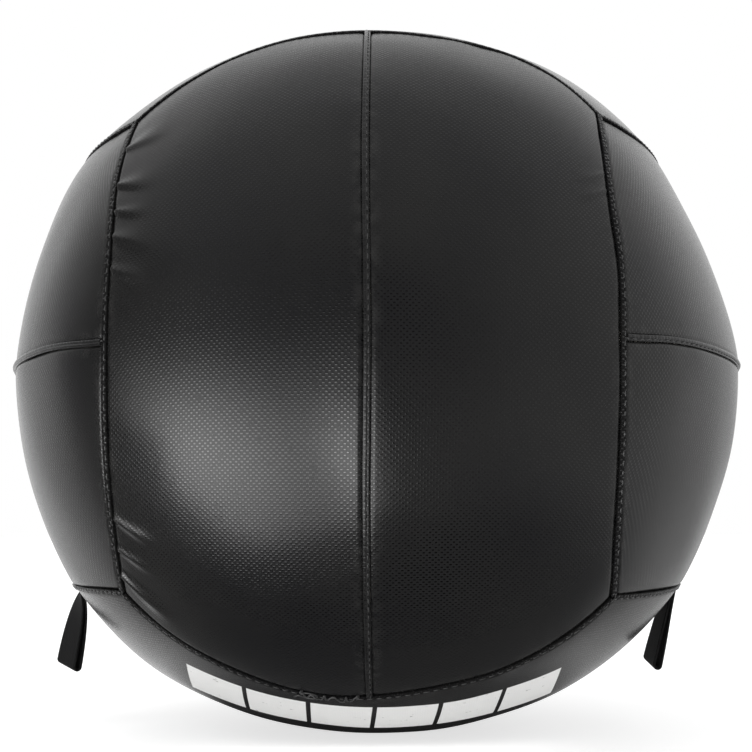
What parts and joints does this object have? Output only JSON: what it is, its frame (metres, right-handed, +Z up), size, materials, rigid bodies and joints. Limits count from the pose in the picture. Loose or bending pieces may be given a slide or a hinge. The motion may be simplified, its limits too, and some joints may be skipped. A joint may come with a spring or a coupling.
{
  "type": "wall ball",
  "caption": "Soft weighted exercise ball with a sewn black vinyl cover of long cube-cut panels, raised seams, a stuffed core and webbing hang loops that swing at the lower seams.",
  "frame": {"origin": "middle of the flat patch on the ground under the ball, which is the bottom centre of its box", "axes": "+Z up, -Y out of the front face, whose seam is upright, +X to the right of a person who faces the front"},
  "size_m": [0.3552, 0.3552, 0.346],
  "materials": {
    "vinyl": "satin coated weave",
    "welt": "folded coated weave, slightly duller",
    "webbing": "matte woven webbing",
    "thread": "waxed thread",
    "foam": "closed-cell foam",
    "canvas": "plain canvas",
    "stuffing": "shredded textile",
    "sacking": "woven sack",
    "grit": "iron and sand grit",
    "cord": "twisted cord"
  },
  "bodies": {
    "ball": {"front_left_panel": "vinyl", "front_right_panel": "vinyl", "back_left_panel": "vinyl", "back_right_panel": "vinyl", "left_lower_panel": "vinyl", "left_upper_panel": "vinyl", "right_lower_panel": "vinyl", "right_upper_panel": "vinyl", "top_front_panel": "vinyl", "top_back_panel": "vinyl", "base_front_panel": "vinyl", "base_back_panel": "vinyl", "front_left_welt": "welt", "front_right_welt": "welt", "front_centre_welt": "welt", "back_left_welt": "welt", "back_right_welt": "welt", "back_centre_welt": "welt", "left_lower_front_welt": "welt", "left_lower_back_welt": "welt", "left_upper_welt": "welt", "left_centre_welt": "welt", "right_lower_front_welt": "welt", "right_lower_back_welt": "welt", "right_upper_welt": "welt", "right_centre_welt": "welt", "top_front_welt": "welt", "top_back_welt": "welt", "top_centre_welt": "welt", "base_front_welt": "welt", "base_back_welt": "welt", "base_centre_welt": "welt", "front_left_foam": "foam", "front_right_foam": "foam", "back_left_foam": "foam", "back_right_foam": "foam", "left_lower_foam": "foam", "left_upper_foam": "foam", "right_lower_foam": "foam", "right_upper_foam": "foam", "top_front_foam": "foam", "top_back_foam": "foam", "base_front_foam": "foam", "base_back_foam": "foam", "closing_stitches": "thread", "left_loop_tail": "webbing", "right_loop_tail": "webbing", "liner_bag": "canvas", "stuffing_upper": "stuffing", "stuffing_lower": "stuffing", "weight_bag": "sacking", "weight_fill": "grit", "weight_bag_tie": "cord"},
    "left_loop": {"left_hang_loop": "webbing"},
    "right_loop": {"right_hang_loop": "webbing"}
  },
  "joints": [
    {"name": "left_loop_swing", "type": "hinge", "parent": "ball", "child": "left_loop", "pos_m": [-0.14782, 0, 0.06938], "axis": [0, 1, 0], "range_deg": [-30, 128]},
    {"name": "right_loop_swing", "type": "hinge", "parent": "ball", "child": "right_loop", "pos_m": [0.14782, 0, 0.06938], "axis": [0, -1, 0], "range_deg": [-10, 150]}
  ]
}
